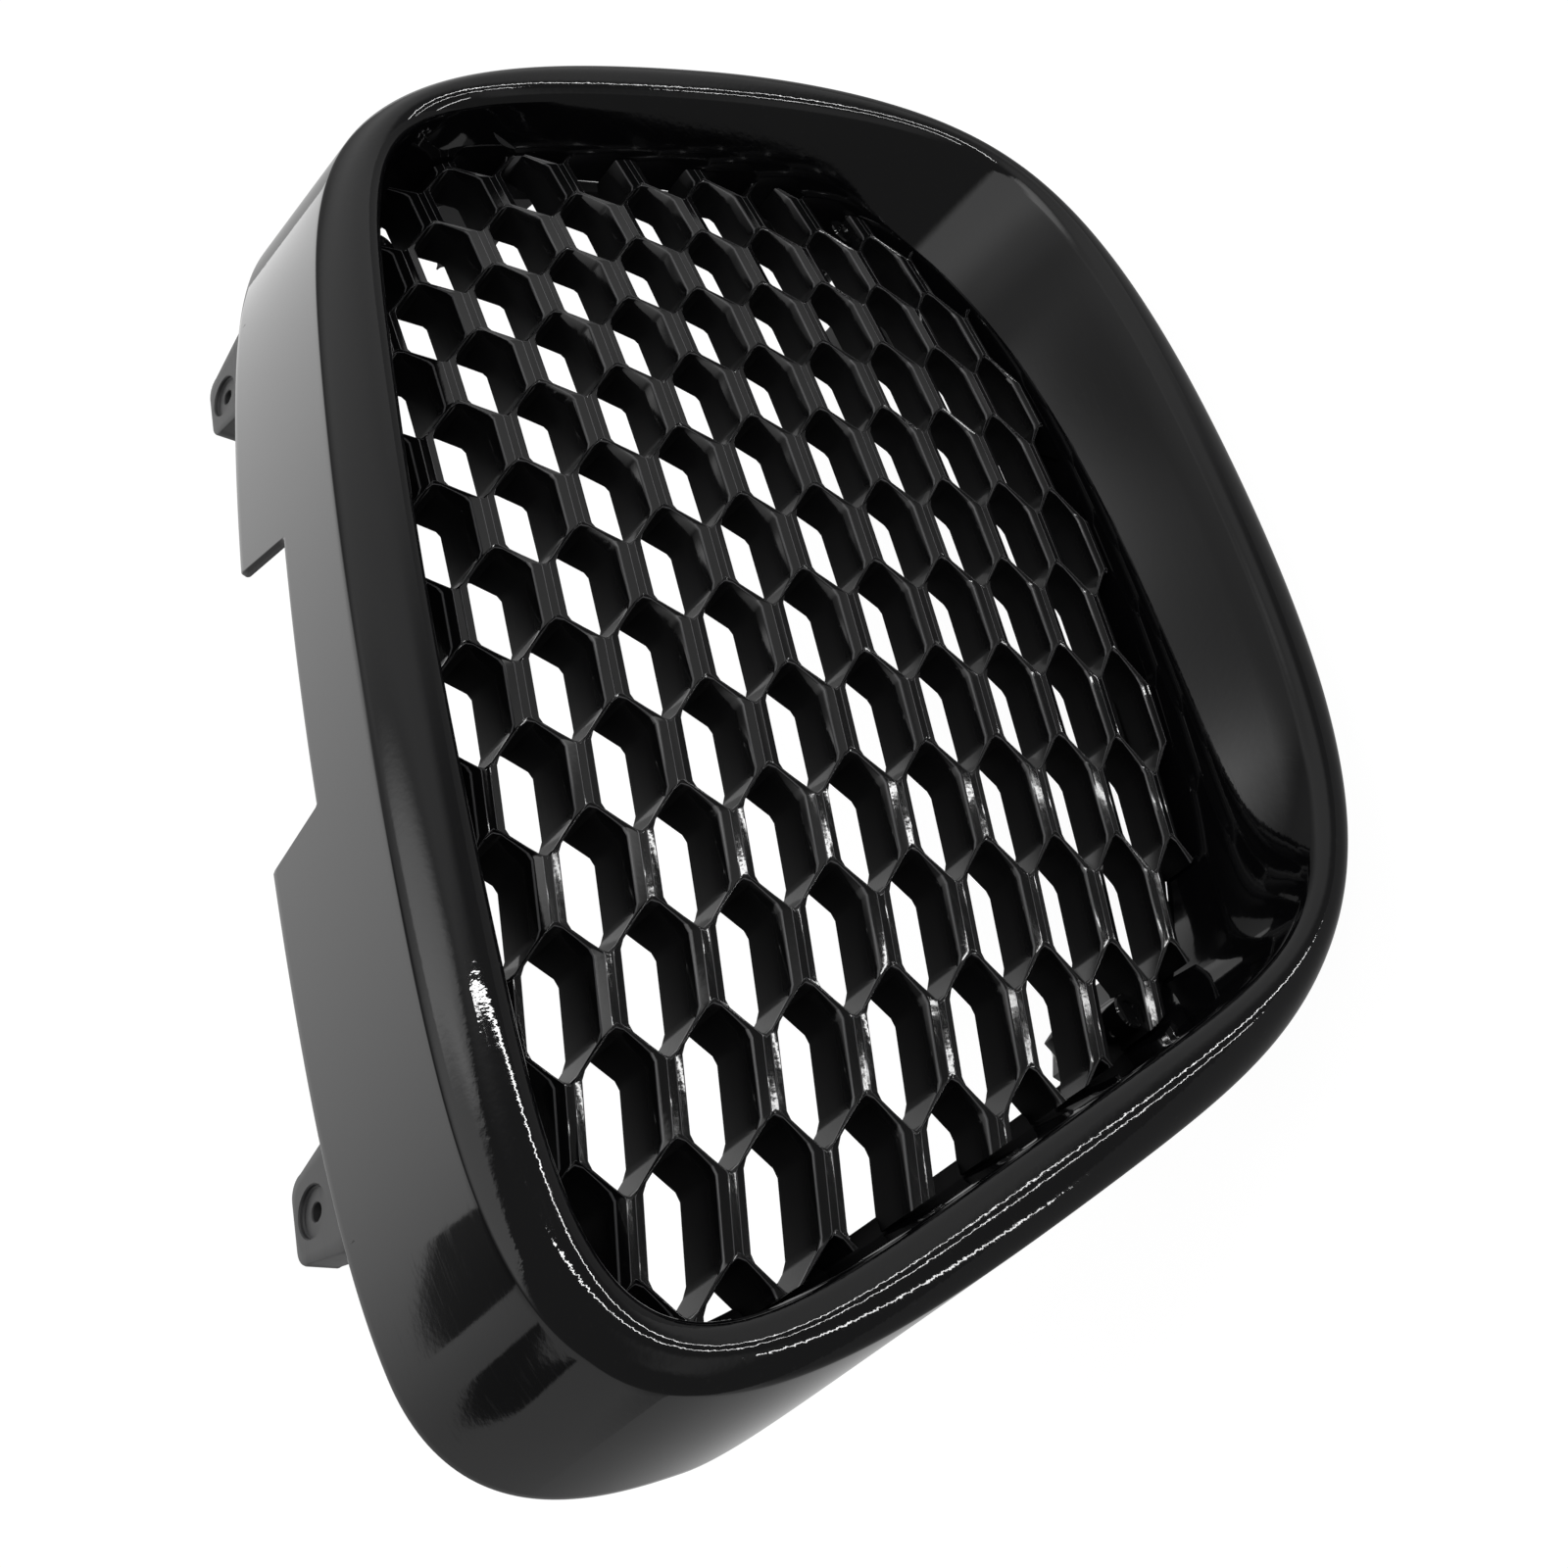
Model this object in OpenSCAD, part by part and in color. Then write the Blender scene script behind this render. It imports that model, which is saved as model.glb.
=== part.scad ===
// Front grille: a raked, bowed surround with a screwed-in honeycomb insert.
// X is across the car, Y runs backwards, Z is up. Sizes are in millimetres.

/* [Curvature] */
// Radius of the mesh's bow across the car, seen from above
mesh_plan_r = 745; // [600:5:1200]
// Radius of the mesh seen from the side
mesh_side_r = 139; // [125:1:200]
// Slope of the mesh halfway up, in degrees from upright
mesh_rake = 39.3; // [36:0.1:42]
// Radius of the rim's bow across the car, seen from above
rim_plan_r = 895; // [700:5:1200]
// Radius of the rim seen from the side
rim_side_r = 220; // [190:1:300]
// Slope of the rim halfway up, in degrees from upright
rim_rake = 40.7; // [37:0.1:43]

/* [Opening] */
// Width of the opening between its slanted sides, at the height of its centre
opening_w = 334.4; // [310:0.2:360]
// Height of the opening from its bottom edge to the peak of its roof
opening_h = 165; // [152:0.5:178]
// Reach of the opening's bottom edge from its centre
lip_bottom = 72.5; // [66:0.5:78]
// Height of the opening's centre below the middle of the mesh
centre_drop = 23.5; // [18:0.25:29]
// Lean of the slanted sides, in degrees from upright
side_lean = 28.8; // [24:0.1:33]
// Fall of the top edge towards its ends, in degrees
top_fall = 6.4; // [4:0.1:9]
// Tightness of the opening's corners
lip_tightness = 5.9; // [4.5:0.1:7]

/* [Rim] */
// Lead of the rim in front of the mesh's middle layer
rim_lead = 26.8; // [24:0.2:34]
// Width that the rim adds along the slanted sides
rim_side_w = 14.7; // [12:0.1:18]
// Width that the rim adds along the bottom
rim_bottom_w = 16.1; // [13:0.1:20]
// Width that the rim adds along the top
rim_top_w = 21; // [18:0.1:26]
// Lean of the outer sides, in degrees from upright
crease_lean = 29.3; // [27:0.1:33]
// Fall of the outer top edge towards its ends, in degrees
crease_fall = 8.3; // [6:0.1:10]
// Tightness of the outer corners
crease_tightness = 4.2; // [3.6:0.1:5]
// Forward swell of the rim between lip and crease
rim_swell = 3.4; // [2:0.1:5]
// Rounding of the crease into the skirt
rim_roll = 3; // [2:0.1:4]
// Forward set of the crease in the middle of the top
top_lift = 4.7; // [2:0.1:7]
// More forward set of the crease towards the ends of the top
corner_lift = 6.9; // [4:0.1:9]
// Set-back of the crease along the bottom
bottom_drop = 9.7; // [6:0.1:12]
// Rounding of the lip into the inner wall
lip_r = 2; // [1:0.25:3]
// Wall of the moulding
wall = 2.5; // [2:0.1:3]
// Inward taper of the inner wall from lip to mesh
wall_taper = 2; // [1:0.25:3]

/* [Skirt] */
// Depth of the part in its middle, from the rim's face to the skirt's back edge
skirt_depth = 119.2; // [112:0.2:128]
// Depth of the end flaps' back edge behind the rim's face
flap_depth = 89.4; // [85:0.2:94]
// Outward flare of the skirt, in degrees
skirt_flare = 2.1; // [1.2:0.1:3]
// Height at which the end flaps stop
flap_z = -12; // [-16:0.5:-6]
// Rounding of the end flaps' lower corners
flap_r = 24; // [14:0.5:28]
// Width of the recess in the skirt's back edge
recess_w = 84; // [70:0.5:110]
// Depth of that recess
recess_depth = 21.8; // [14:0.2:23]
// Flare of the recess towards the back, each side
recess_flare = 4.8; // [0:0.1:6]

/* [Ears] */
// Distance between the two ear holes
ear_spacing = 257.6; // [250:0.2:264]
// Distance of the ear holes behind the skirt's back edge
ear_reach = 11.5; // [9:0.25:14]
// Screw hole in the ears
ear_hole_d = 4.2; // [3.5:0.1:6]
// Counterbore round the hole
ear_seat_d = 12; // [9:0.25:13]
// Depth of the counterbore
ear_seat_depth = 1.2; // [0.6:0.1:2]
// Step of the ears below the skirt's outer face
ear_step = 2.2; // [1.6:0.1:2.4]
// Thickness of the ears
ear_t = 8; // [6:0.25:10]
// Width of the ears at the skirt
ear_root_w = 30; // [27:0.5:32]
// Width of the ears at their end
ear_end_w = 22; // [18:0.5:25]
// Rounding of the ears' corners
ear_corner_r = 5; // [3:0.25:6]

/* [Rear tabs] */
// Width of the four tabs behind the inner wall
tab_w = 20; // [14:0.5:24]
// Length of the tabs behind the wall's edge
tab_length = 40; // [30:0.5:46]
// Thickness of the tabs
tab_t = 3; // [2:0.1:4]
// Set-in of the tabs' and lugs' faces from the wall's inner face
tab_lap = 0.75; // [0.7:0.05:1]
// Clip window near the end of each side tab
window_d = 4.5; // [3:0.1:6]
// Distance of that window from the tab's end
window_in = 11; // [9:0.25:14]
// Radius of the two notches in a side tab's end
notch_r = 3; // [2:0.1:3.4]
// Land between those notches
notch_land = 0.6; // [0.4:0.1:1]

/* [Mesh] */
// Height from one cell to the next in a column
cell_pitch = 15.5; // [13:0.1:19]
// Distance from one column to the next
column_pitch = 27.1; // [24:0.1:32]
// Length of a bar between its junctions
bar_length = 15.5; // [13:0.25:18]
// Width of a bar
bar_w = 4.2; // [3:0.1:5.5]
// Width of the flat strip along a bar's front
bar_face_w = 1.6; // [0.8:0.1:2.4]
// Set-back of a bar's edges behind that strip
bar_crown = 1.2; // [0.5:0.1:2]
// Width of the flat arch over a bar's end
arch_w = 1.6; // [0.8:0.1:1.6]
// Thickness of the slanted walls between bars
web_t = 1.4; // [1.2:0.1:2]
// Width of the flat front strip on the thin diagonals
web_face_w = 0.4; // [0.3:0.05:0.6]
// Depth of the mesh
mesh_depth = 12.4; // [10:0.1:16]
// Gap between the insert and the inner wall
insert_gap = 0.6; // [0.4:0.05:0.9]
// Width of the frame round the insert's back
frame_w = 3; // [2.5:0.1:4]
// Thickness of that frame
frame_t = 4; // [3:0.1:6]
// Lap of the frame behind the inner wall's back edge
frame_lap = 0.5; // [0.3:0.05:0.55]
// Gap between that edge and the frame
seat_gap = 1; // [0.9:0.05:1.5]

/* [Insert screws] */
// Shank of the screws
screw_d = 3.9; // [3:0.1:4.5]
// Length of the shank
screw_length = 14; // [10:0.5:18]
// Head of the screws
screw_head_d = 7.5; // [6:0.1:9]
// Height of the head
screw_head_h = 2.6; // [2:0.1:3.5]
// Length of the cross drive's arms, from end to end
cross_l = 4.5; // [3.5:0.1:5.5]
// Width of the cross drive's arms
cross_w = 1.4; // [1:0.1:2]
// Depth of the cross drive
cross_depth = 1.3; // [1:0.1:1.6]
// Gap round the shank in the insert's bosses
screw_fit = 0.05; // [0.03:0.01:0.1]
// Gap round the shank in the surround's lugs
screw_gap = 0.3; // [0.2:0.05:0.5]
// Diameter of the insert's bosses
boss_d = 9; // [7.5:0.1:10]
// Distance of the bosses from the inner wall
boss_in = 6.5; // [6:0.25:8]
// Gap between the mesh and the lugs behind it
lug_gap = 1.5; // [1:0.1:3]
// Thickness of the lugs
lug_t = 3; // [2.5:0.1:4]
// Width of the lugs
lug_w = 13; // [11:0.25:16]

/* [Hidden] */
$fn = 48;
gloss_black = [0.05, 0.05, 0.055];
zinc = [0.62, 0.63, 0.65];

// Places round the outline, as ellipse angles: 0 is +X, 90 is the top
screw_angles = [-34, 42, 70, 110, 138, 214];
side_tab_angles = [18.5, 161.5];
corner_tab_angles = [-46, 226];
shoulder_angles = [19, 44];
lower_steps = 22;
upper_steps = 28;
flap_split = 0.5;
flap_search = [-60, 60];
skirt_search = [45, 90];
halvings = 24;

// Reaches of the opening's edges from its centre, and depths behind the middle of the mesh
lip_side = opening_w / 2 * cos(side_lean);
lip_top = (opening_h - lip_bottom) * cos(top_fall);
skirt_y = skirt_depth - rim_lead;
flap_y = flap_depth - rim_lead;

// Edges of an outline: side, bottom and roof reach, corner tightness, side lean, roof fall
lip = [lip_side, lip_bottom, lip_top, lip_tightness, side_lean, top_fall];
crease = [lip_side + rim_side_w, lip_bottom + rim_bottom_w, lip_top + rim_top_w,
    crease_tightness, crease_lean, crease_fall];
seat = grown(lip, -wall_taper);
insert_edge = grown(seat, -insert_gap);

function grown(e, d) = [e[0] + d, e[1] + d, e[2] + d, e[3], e[4], e[5]];
function mix(a, b, f) = a + (b - a) * f;
function eased(f) = let (c = min(1, max(0, f))) c * c * (3 - 2 * c);
function heading(t) = let (v = [2 * cos(t), sin(t)]) v / norm(v);

// Smooth outline inside five straight edges: the edges' pulls add as powers, which rounds the corners
function pull(u, angle, reach, power) = pow(max(0, u * [cos(angle), sin(angle)]) / reach, power);
function radius(u, e) = pow(
    pull(u, -e[4], e[0], e[3]) + pull(u, 180 + e[4], e[0], e[3]) + pull(u, -90, e[1], e[3])
    + pull(u, 90 - e[5], e[2], e[3]) + pull(u, 90 + e[5], e[2], e[3]), -1 / e[3]);
function place(e, t) = radius(heading(t), e) * heading(t) - [0, centre_drop];
function outward(e, t) = let (d = place(e, t + 0.5) - place(e, t - 0.5)) [d[1], -d[0]] / norm(d);

// The mesh's middle layer and the rim's face, both bowed across and curved up the car
function curved_y(p, plan_r, side_r, rake) =
    p[0] * p[0] / (2 * plan_r) + p[1] * p[1] / (2 * side_r) + p[1] * tan(rake);
function mesh_y(p) = curved_y(p, mesh_plan_r, mesh_side_r, mesh_rake);
function rim_y(p) = curved_y(p, rim_plan_r, rim_side_r, rim_rake) - rim_lead;
function seat_y(t) = mesh_y(place(seat, t)) + mesh_depth / 2 - frame_t / 2 - seat_gap;
function lift(x) = top_lift + corner_lift * pow(2 * x / opening_w, 2);
function crease_y(t) = let (p = place(crease, t))
    rim_y(p) - lift(p[0]) * pow(max(0, sin(t)), 2) + bottom_drop * pow(max(0, -sin(t)), 2);

// Angle at which the outer outline passes the flaps' lower edge, found by halving
function flap_angle(lo = flap_search[0], hi = flap_search[1], n = halvings) = let (mid = (lo + hi) / 2)
    n == 0 ? mid
    : place(crease, mid)[1] > flap_z ? flap_angle(lo, mid, n - 1) : flap_angle(mid, hi, n - 1);
flap_t = flap_angle();
right_half = concat(
    [for (i = [0 : lower_steps]) mix(-90, flap_t - flap_split, i / lower_steps)],
    [for (i = [0 : upper_steps]) mix(flap_t + flap_split, 90, i / upper_steps)]);
stations = concat(right_half, [for (i = [len(right_half) - 2 : -1 : 1]) 180 - right_half[i]]);

// Back edge of the skirt: deep along the top, less deep on the end flaps, level with the mesh below
function shoulder(t) = let (low = sin(shoulder_angles[0]), high = sin(shoulder_angles[1]))
    eased((sin(t) - low) / (high - low));
function skirt_end(t) = sin(t) > sin(flap_t) ? mix(flap_y, skirt_y, shoulder(t)) : seat_y(t);
function skirt_out(t) = (skirt_end(t) - crease_y(t)) * tan(skirt_flare);

// One section of the surround, from the lip over the rim, down the skirt and back up inside
rim_steps = [0, 0.08, 0.22, 0.42, 0.64, 0.84, 0.94, 1];
function at(p, y) = [p[0], y, p[1]];
function rim_bulge(f) = rim_roll * (1 - sqrt(1 - pow(f, 6))) - rim_swell * sin(180 * f);
function rim_point(t, f) = let (a = place(lip, t), b = place(crease, t))
    at(mix(a, b, f), mix(rim_y(a), crease_y(t), f) + rim_bulge(f));
function surround_section(t) = concat([for (f = rim_steps) rim_point(t, f)], [
    at(place(grown(crease, skirt_out(t)), t), skirt_end(t)),
    at(place(grown(crease, skirt_out(t) - wall), t), skirt_end(t)),
    at(place(grown(crease, -wall), t), crease_y(t) + rim_roll + wall),
    at(place(grown(lip, wall), t), rim_y(place(lip, t)) + rim_roll + wall),
    at(place(grown(seat, wall), t), seat_y(t)),
    at(place(seat, t), seat_y(t)),
    at(place(grown(lip, -lip_r / 4), t), rim_y(place(lip, t)) + lip_r)]);
function frame_point(t, d, y) = let (p = place(insert_edge, t))
    at(place(grown(insert_edge, d), t), mesh_y(p) + mesh_depth / 2 + y);
function frame_section(t) = [
    frame_point(t, insert_gap + frame_lap, -frame_t / 2),
    frame_point(t, insert_gap + frame_lap, frame_t / 2),
    frame_point(t, -frame_w, frame_t / 2), frame_point(t, -frame_w, -frame_t / 2)];

// Closed loft round the outline through one section per station
module loft(sections) {
    n = len(sections);
    m = len(sections[0]);
    polyhedron(
        [for (s = sections) each s],
        [for (i = [0 : n - 1], j = [0 : m - 1])
            let (k = (i + 1) % n, up = (j + 1) % m)
            each [[i * m + j, k * m + up, i * m + up], [i * m + j, k * m + j, k * m + up]]]);
}

// Frame at a place on an edge: local x points outwards, y backwards
module on_edge(edges, t) {
    p = place(edges, t);
    n = outward(edges, t);
    translate([p[0], 0, p[1]]) rotate([0, -atan2(n[1], n[0]), 0]) children();
}
module along_y(y, h, d) {
    translate([0, y, 0]) rotate([-90, 0, 0]) cylinder(h = h, d = d);
}

// Lugs behind the mesh: their front face clears the mesh at all four corners
function lug_corner(t, depth, side) = let (n = outward(seat, t))
    place(seat, t) - depth * n + side * lug_w / 2 * [-n[1], n[0]];
lug_depth = boss_in + lug_w / 2;
function lug_y(t) = max([for (depth = [0, lug_depth], side = [-1, 1]) mesh_y(lug_corner(t, depth, side))])
    + mesh_depth / 2 + frame_t / 2 + lug_gap;

module lug(t) {
    back = lug_y(t) + lug_t;
    front = seat_y(t) - lug_w;
    on_edge(seat, t) {
        translate([-lug_depth, lug_y(t), -lug_w / 2]) cube([lug_depth + wall, lug_t, lug_w]);
        translate([tab_lap, front, -lug_w / 2]) cube([wall - tab_lap, back - front, lug_w]);
    }
}
module lug_hole(t) {
    on_edge(seat, t) translate([-boss_in, 0, 0])
        along_y(lug_y(t) - lug_t, 3 * lug_t, screw_d + 2 * screw_gap);
}

module tab_plate(t) {
    translate([tab_lap, seat_y(t) - tab_w / 2, -tab_w / 2])
        cube([tab_t, tab_length + tab_w / 2, tab_w]);
}
module across_tab(y, z, d) {
    translate([-tab_t, y, z]) rotate([0, 90, 0]) cylinder(h = 3 * tab_t, d = d);
}
module corner_tab(t) {
    on_edge(seat, t) tab_plate(t);
}
module side_tab(t) {
    end = seat_y(t) + tab_length;
    on_edge(seat, t) difference() {
        tab_plate(t);
        across_tab(end - window_in, 0, window_d);
        for (side = [-1, 1]) across_tab(end, side * (notch_r + notch_land / 2), 2 * notch_r);
    }
}

// Ears: tongues under the skirt's back edge, with their holes upright
ear_y = skirt_y + ear_reach;
function skirt_at(t) = place(grown(crease, skirt_out(t)), t);
function skirt_z(x, lo = skirt_search[0], hi = skirt_search[1], n = halvings) = let (mid = (lo + hi) / 2)
    n == 0 ? skirt_at(mid)[1]
    : skirt_at(mid)[0] > x ? skirt_z(x, mid, hi, n - 1) : skirt_z(x, lo, mid, n - 1);
ear_z = skirt_z(ear_spacing / 2) - ear_step;
ear_root_y = skirt_y - ear_corner_r;
ear_end_y = ear_y + ear_seat_d / 2 + ear_corner_r / 2;
origin = [0, ear_y, ear_z - ear_seat_depth];

module ear_shape() {
    polygon([
        [-ear_root_w / 2, ear_root_y], [ear_root_w / 2, ear_root_y], [ear_root_w / 2, skirt_y],
        [ear_end_w / 2, ear_end_y - ear_corner_r], [ear_end_w / 2 - ear_corner_r, ear_end_y],
        [ear_corner_r - ear_end_w / 2, ear_end_y], [-ear_end_w / 2, ear_end_y - ear_corner_r],
        [-ear_root_w / 2, skirt_y]]);
    for (side = [-1, 1])
        translate([side * (ear_end_w / 2 - ear_corner_r), ear_end_y - ear_corner_r])
            circle(r = ear_corner_r);
}
module at_ears() {
    for (side = [0, 1]) mirror([side, 0, 0]) translate([ear_spacing / 2, 0, ear_z]) children();
}
module ear() {
    translate([0, 0, -ear_t]) linear_extrude(ear_t) ear_shape();
    translate([-ear_root_w / 2, ear_root_y, -ear_t])
        cube([ear_root_w / 2, skirt_y - ear_root_y, ear_t + ear_step - wall / 4]);
}
module ear_bore() {
    translate([0, ear_y, -2 * ear_t]) cylinder(h = 3 * ear_t, d = ear_hole_d);
    translate([0, ear_y, -ear_seat_depth]) cylinder(h = ear_t, d = ear_seat_d);
}

module skirt_recess() {
    deep = skirt_y - recess_depth;
    over = skirt_y + recess_depth;
    w = recess_w / 2;
    translate([0, 0, ear_z - ear_t]) linear_extrude(4 * ear_t)
        polygon([[-w, deep], [w, deep], [w + 2 * recess_flare, over], [-w - 2 * recess_flare, over]]);
}

// Lower back corners of the end flaps, rounded across the car
module flap_rounding() {
    span = 4 * lip_side;
    translate([-span / 2, flap_y - flap_r, flap_z + flap_r]) difference() {
        translate([0, 0, -2 * flap_r]) cube([span, 2 * flap_r, 2 * flap_r]);
        rotate([0, 90, 0]) cylinder(h = span, r = flap_r, $fn = 96);
    }
}

module surround() {
    color(gloss_black) translate(-origin) difference() {
        union() {
            difference() {
                loft([for (t = stations) surround_section(t)]);
                skirt_recess();
                flap_rounding();
            }
            at_ears() ear();
            for (t = screw_angles) lug(t);
            for (t = side_tab_angles) side_tab(t);
            for (t = corner_tab_angles) corner_tab(t);
        }
        at_ears() ear_bore();
        for (t = screw_angles) lug_hole(t);
    }
}

// Honeycomb lattice: cells in columns, every other column raised by half a pitch.
// Heights count in half pitches, so that neighbours share their corners exactly.
half_pitch = cell_pitch / 2;
columns = ceil((lip_side + lip_top) / column_pitch / 1.2);
rows = ceil((lip_top + lip_bottom) / half_pitch / 1.2);
function cell_centre(c) = [c[0] * column_pitch, c[1] * half_pitch];
function is_needed(c) = let (v = cell_centre(c) + [0, centre_drop])
    (c[0] + c[1]) % 2 != 0 && norm(v) < radius(v / max(norm(v), 0.001), insert_edge) + column_pitch * 0.72;
cells = [for (i = [-columns : columns], k = [-rows : rows]) if (is_needed([i, k])) [i, k]];
function side_cells(c) = [[c[0] + 1, c[1] + 1], [c[0] + 1, c[1] - 1], [c[0], c[1] - 2],
    [c[0] - 1, c[1] - 1], [c[0] - 1, c[1] + 1], [c[0], c[1] + 2]];

// Six corners where the middle lines of a cell's walls meet
function bar_tip(c, i, side) = (c[0] + i) * column_pitch + side * bar_length / 2;
function cell_corner(c, i) = let (s = i < 3 ? 1 : -1)
    i % 3 == 1 ? [bar_tip(c, s, -s), c[1] * half_pitch]
    : [bar_tip(c, 0, s), (c[1] + (i == 0 || i == 5 ? 1 : -1)) * half_pitch];
web_run = column_pitch - bar_length;
web_length = norm([web_run, half_pitch]);

// Eight corners of the opening, drawn in by half of each wall: both ends are flat arches
arch_room = 0.95 * web_t * web_length / web_run;
function cell_loop(c, bar, web) =
    let (cut = web * web_length / cell_pitch, flat = min(arch_w, arch_room) * web / web_t / 2)
    [for (i = [0 : 5]) let (s = i < 3 ? 1 : -1, tip = s * (column_pitch - bar_length / 2 - cut))
        each i % 3 == 1 ? [cell_centre(c) + [tip, s * flat], cell_centre(c) + [tip, -s * flat]]
        : [cell_centre(c) + [s * (bar_length / 2 - cut + bar * web_run / cell_pitch),
            (i == 0 || i == 5 ? 1 : -1) * (half_pitch - bar / 2)]]];
corner_of = [0, 1, 1, 2, 3, 4, 4, 5];
function layer(loop, y) = [for (p = loop) at(p, mesh_y(p) + y)];
function crown(i) = corner_of[i] % 3 == 1 ? web_t / 2 : bar_crown;
function crowned(loop) = [for (i = [0 : 7]) at(loop[i], mesh_y(loop[i]) - mesh_depth / 2 + crown(i))];

// Layers of a cell's ring: middle lines, strip and opening in front, opening and middle lines behind
front_strip = 6;
front_hole = 14;
back_hole = 22;
back_mid = 30;
cell_size = 36;
function cell_points(c) =
    let (mid = [for (i = [0 : 5]) cell_corner(c, i)])
    let (strip = cell_loop(c, bar_face_w, web_face_w), hole = cell_loop(c, bar_w, web_t))
    concat(layer(mid, -mesh_depth / 2), layer(strip, -mesh_depth / 2), crowned(hole),
        layer(hole, mesh_depth / 2), layer(mid, mesh_depth / 2));
function quad(o, a, b, c, d) = [[o + a, o + b, o + c], [o + a, o + c, o + d]];
function ring_faces(o, i, j) = let (a = corner_of[i], b = corner_of[j])
    concat(quad(o, front_strip + i, front_strip + j, front_hole + j, front_hole + i),
        quad(o, front_hole + i, front_hole + j, back_hole + j, back_hole + i),
        [[o + a, o + front_strip + j, o + front_strip + i]],
        [[o + back_hole + i, o + back_hole + j, o + back_mid + b]],
        a == b ? [] : [[o + a, o + b, o + front_strip + j],
            [o + back_hole + i, o + back_mid + b, o + back_mid + a]]);
function cell_faces(c, o) = concat(
    [for (i = [0 : 7]) each ring_faces(o, i, (i + 1) % 8)],
    [for (i = [0 : 5]) let (j = (i + 1) % 6)
        if (!is_needed(side_cells(c)[i])) each quad(o, back_mid + i, back_mid + j, j, i)]);

module lattice() {
    polyhedron(
        [for (c = cells) each cell_points(c)],
        [for (n = [0 : len(cells) - 1]) each cell_faces(cells[n], cell_size * n)]);
}
module edge_prism(edges, y0, y1) {
    translate([0, y1, 0]) rotate([90, 0, 0]) linear_extrude(y1 - y0)
        polygon([for (t = stations) place(edges, t)]);
}

// Boss that starts inside the mesh and stands on the lug behind it
module boss(t) {
    front = mesh_y(place(grown(seat, -boss_in), t)) - mesh_depth / 4;
    on_edge(seat, t) translate([-boss_in, 0, 0]) along_y(front, lug_y(t) - front, boss_d);
}
module boss_hole(t) {
    depth = screw_length - lug_t + screw_d / 4;
    on_edge(seat, t) translate([-boss_in, 0, 0])
        along_y(lug_y(t) - depth, depth + lug_t, screw_d + 2 * screw_fit);
}

module honeycomb_insert() {
    color(gloss_black) translate(-origin) difference() {
        union() {
            intersection() {
                lattice();
                edge_prism(insert_edge, -2 * skirt_y, 2 * skirt_y);
            }
            loft([for (t = stations) frame_section(t)]);
            for (t = screw_angles) boss(t);
        }
        for (t = screw_angles) boss_hole(t);
    }
}

// Pan-head screw driven forwards through the lug into the boss
module screw(t) {
    on_edge(seat, t) translate([-boss_in, lug_y(t) + lug_t, 0]) difference() {
        union() {
            along_y(-screw_length, screw_length, screw_d);
            along_y(0, screw_head_h, screw_head_d);
        }
        for (turn = [0, 90]) rotate([0, turn, 0])
            translate([-cross_w / 2, screw_head_h - cross_depth, -cross_l / 2])
                cube([cross_w, 2 * cross_depth, cross_l]);
    }
}
module insert_screws() {
    color(zinc) translate(-origin) for (t = screw_angles) screw(t);
}

surround();
honeycomb_insert();
insert_screws();
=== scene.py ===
import math
import bmesh
import bpy
import numpy as np
from mathutils import Euler, Matrix, Vector


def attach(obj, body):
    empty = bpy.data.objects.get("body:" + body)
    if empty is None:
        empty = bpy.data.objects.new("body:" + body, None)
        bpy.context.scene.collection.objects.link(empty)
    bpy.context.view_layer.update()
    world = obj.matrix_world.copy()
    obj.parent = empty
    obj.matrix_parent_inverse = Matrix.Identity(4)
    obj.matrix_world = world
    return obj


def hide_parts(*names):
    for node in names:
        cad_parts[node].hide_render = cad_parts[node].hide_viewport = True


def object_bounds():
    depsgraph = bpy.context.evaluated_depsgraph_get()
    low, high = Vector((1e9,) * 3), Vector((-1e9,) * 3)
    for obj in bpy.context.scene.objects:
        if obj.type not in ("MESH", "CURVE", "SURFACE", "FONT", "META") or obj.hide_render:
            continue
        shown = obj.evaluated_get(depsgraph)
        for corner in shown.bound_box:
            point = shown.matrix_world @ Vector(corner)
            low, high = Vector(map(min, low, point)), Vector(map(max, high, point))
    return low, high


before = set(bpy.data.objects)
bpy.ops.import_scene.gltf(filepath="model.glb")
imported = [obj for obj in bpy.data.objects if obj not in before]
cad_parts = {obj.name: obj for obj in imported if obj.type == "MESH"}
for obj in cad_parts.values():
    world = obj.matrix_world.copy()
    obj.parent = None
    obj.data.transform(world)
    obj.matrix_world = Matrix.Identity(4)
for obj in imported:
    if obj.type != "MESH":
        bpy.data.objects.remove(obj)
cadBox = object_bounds()
mm = 0.001
rowOrigin = np.array([0.0, 103.9, 65.1735])  # the row's origin, measured from the mesh's middle in mm

# edges of the outlines, in mm and degrees: reach of the sides, the bottom and the two roof edges
outlines = {
    "lip": {"side": 146.52, "bottom": 72.5, "top": 91.92, "tight": 5.9, "lean": 28.8, "fall": 6.4},
    "crease": {"side": 161.22, "bottom": 88.6, "top": 112.92, "tight": 4.2, "lean": 29.3, "fall": 8.3},
}
centreDrop = 23.5
bows = {"mesh": (745.0, 139.0, 39.3, 0.0), "rim": (895.0, 220.0, 40.7, 26.8)}  # plan r, side r, rake, lead
meshDepth = 12.4
frameDepth = 4.0
wallThick = 2.5
wallTaper = 2.0
insertGap = 0.6
seatGap = 1.0


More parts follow.
